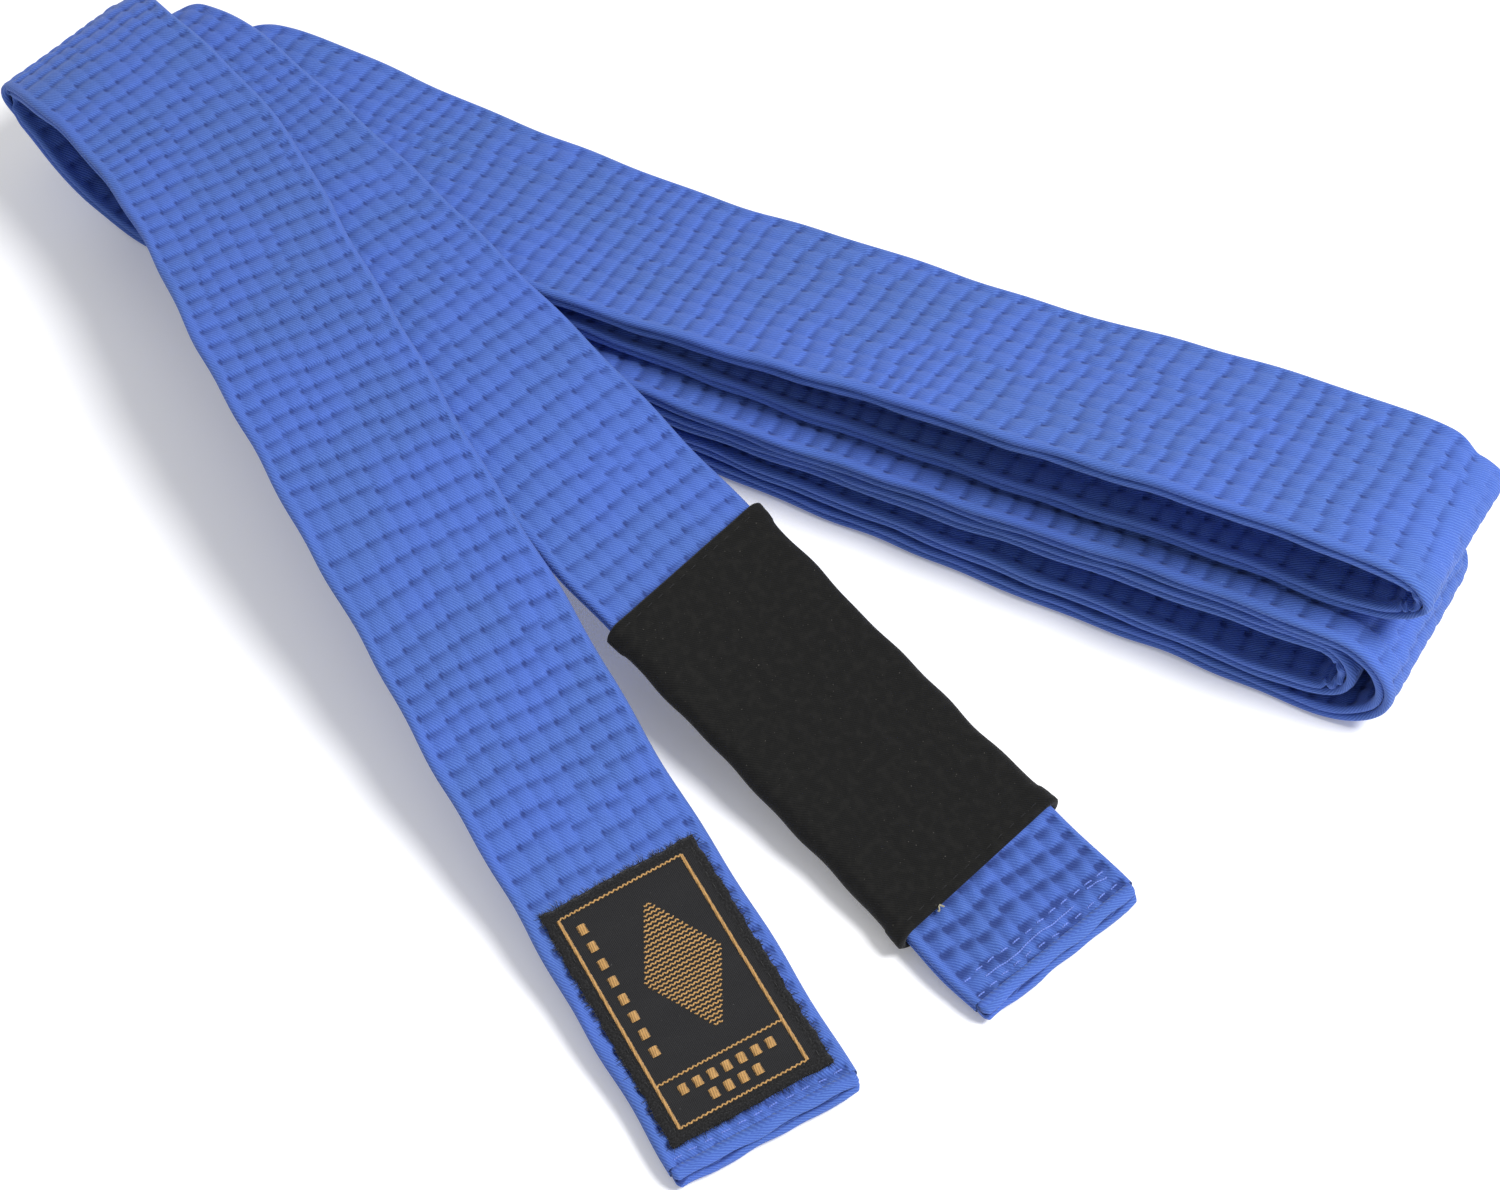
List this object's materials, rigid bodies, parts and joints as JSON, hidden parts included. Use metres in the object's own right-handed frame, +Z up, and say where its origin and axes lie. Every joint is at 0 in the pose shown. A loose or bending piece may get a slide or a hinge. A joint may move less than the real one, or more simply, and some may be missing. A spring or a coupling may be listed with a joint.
{
  "type": "martial arts belt",
  "caption": "Quilted cotton martial arts belt with a black rank sleeve and a woven label, folded into a flat bundle with both ends laid out in front.",
  "frame": {"origin": "on the flat underside of the folded bundle, under its middle", "axes": "+X along the bundle towards its right-hand folds, +Y across the belt away from the two free ends, +Z up from the surface that the belt rests on"},
  "size_m": [0.3574, 0.2015, 0.0503],
  "materials": {
    "blue_twill": "quilted cotton twill, matte",
    "filling": "plain cotton canvas filling",
    "black_cotton": "plain black cotton, matte",
    "label_weave": "black damask woven label, satin",
    "label_thread": "gold embroidery thread",
    "blue_thread": "blue sewing thread",
    "black_thread": "black sewing thread"
  },
  "bodies": {
    "bundle": {"bundle_label_half_cover": "blue_twill", "bundle_label_half_upper_ply": "filling", "bundle_label_half_lower_ply": "filling", "bundle_sleeve_half_cover": "blue_twill", "bundle_sleeve_half_upper_ply": "filling", "bundle_sleeve_half_lower_ply": "filling"},
    "leaf_link_1": {"leaf_lower_1_cover": "blue_twill", "leaf_lower_1_upper_ply": "filling", "leaf_lower_1_lower_ply": "filling", "leaf_upper_1_cover": "blue_twill", "leaf_upper_1_upper_ply": "filling", "leaf_upper_1_lower_ply": "filling"},
    "leaf_link_2": {"leaf_lower_2_cover": "blue_twill", "leaf_lower_2_upper_ply": "filling", "leaf_lower_2_lower_ply": "filling", "leaf_upper_2_cover": "blue_twill", "leaf_upper_2_upper_ply": "filling", "leaf_upper_2_lower_ply": "filling"},
    "leaf_link_3": {"leaf_fold_cover": "blue_twill", "leaf_fold_upper_ply": "filling", "leaf_fold_lower_ply": "filling"},
    "label_link_1": {"label_tail_1_cover": "blue_twill", "label_tail_1_upper_ply": "filling", "label_tail_1_lower_ply": "filling"},
    "label_link_2": {"label_tail_2_cover": "blue_twill", "label_tail_2_upper_ply": "filling", "label_tail_2_lower_ply": "filling"},
    "label_link_3": {"label_end_cover": "blue_twill", "label_end_upper_ply": "filling", "label_end_lower_ply": "filling", "label_end_hem": "blue_twill", "label_end_stitch": "blue_thread", "woven_label": "label_weave", "label_border_stitch": "label_thread"},
    "sleeve_link_1": {"sleeve_tail_1_cover": "blue_twill", "sleeve_tail_1_upper_ply": "filling", "sleeve_tail_1_lower_ply": "filling"},
    "sleeve_link_2": {"sleeve_tail_2_cover": "blue_twill", "sleeve_tail_2_upper_ply": "filling", "sleeve_tail_2_lower_ply": "filling", "rank_sleeve": "black_cotton", "rank_sleeve_upper_stitch": "black_thread", "rank_sleeve_lower_stitch": "black_thread"},
    "sleeve_link_3": {"sleeve_end_cover": "blue_twill", "sleeve_end_upper_ply": "filling", "sleeve_end_lower_ply": "filling", "sleeve_end_hem": "blue_twill", "sleeve_end_stitch": "blue_thread"}
  },
  "joints": [
    {"name": "top_leaf_lift", "type": "hinge", "parent": "bundle", "child": "leaf_link_1", "pos_m": [-0.0083, 0.00742, 0.03249], "axis": [0, -0.9996, 0.029], "range_deg": [0, 25]},
    {"name": "top_leaf_curl_2", "type": "hinge", "parent": "leaf_link_1", "child": "leaf_link_2", "pos_m": [0.03963, 0.0062, 0.03816], "axis": [0, -0.9967, 0.0807], "range_deg": [0, 25]},
    {"name": "top_leaf_curl_3", "type": "hinge", "parent": "leaf_link_2", "child": "leaf_link_3", "pos_m": [0.08955, 0.00534, 0.04347], "axis": [0, -0.9928, 0.1199], "range_deg": [0, 25]},
    {"name": "label_tail_lift", "type": "hinge", "parent": "bundle", "child": "label_link_1", "pos_m": [-0.00867, -0.08596, 0.02996], "axis": [-0.5159, -0.8566, 0], "range_deg": [0, 30]},
    {"name": "label_tail_curl_2", "type": "hinge", "parent": "label_link_1", "child": "label_link_2", "pos_m": [0.02001, -0.10248, 0.0219], "axis": [-0.5159, -0.8566, 0], "range_deg": [0, 30]},
    {"name": "label_tail_curl_3", "type": "hinge", "parent": "label_link_2", "child": "label_link_3", "pos_m": [0.04869, -0.11884, 0.014], "axis": [-0.5159, -0.8566, 0], "range_deg": [0, 30]},
    {"name": "sleeve_tail_lift", "type": "hinge", "parent": "bundle", "child": "sleeve_link_1", "pos_m": [0.01219, -0.05052, 0.02485], "axis": [-0.3387, -0.9409, 0], "range_deg": [0, 25]},
    {"name": "sleeve_tail_curl_2", "type": "hinge", "parent": "sleeve_link_1", "child": "sleeve_link_2", "pos_m": [0.02424, -0.05453, 0.02214], "axis": [-0.3387, -0.9409, 0], "range_deg": [0, 25]},
    {"name": "sleeve_tip_lift", "type": "hinge", "parent": "sleeve_link_2", "child": "sleeve_link_3", "pos_m": [0.11377, -0.08552, 0.0073], "axis": [-0.3387, -0.9409, 0], "range_deg": [0, 40]}
  ],
  "couplings": [
    {"joint": "top_leaf_curl_2", "follows": "top_leaf_lift", "ratio": 1},
    {"joint": "top_leaf_curl_3", "follows": "top_leaf_lift", "ratio": 1},
    {"joint": "label_tail_curl_2", "follows": "label_tail_lift", "ratio": 1},
    {"joint": "label_tail_curl_3", "follows": "label_tail_lift", "ratio": 1},
    {"joint": "sleeve_tail_curl_2", "follows": "sleeve_tail_lift", "ratio": 1}
  ]
}
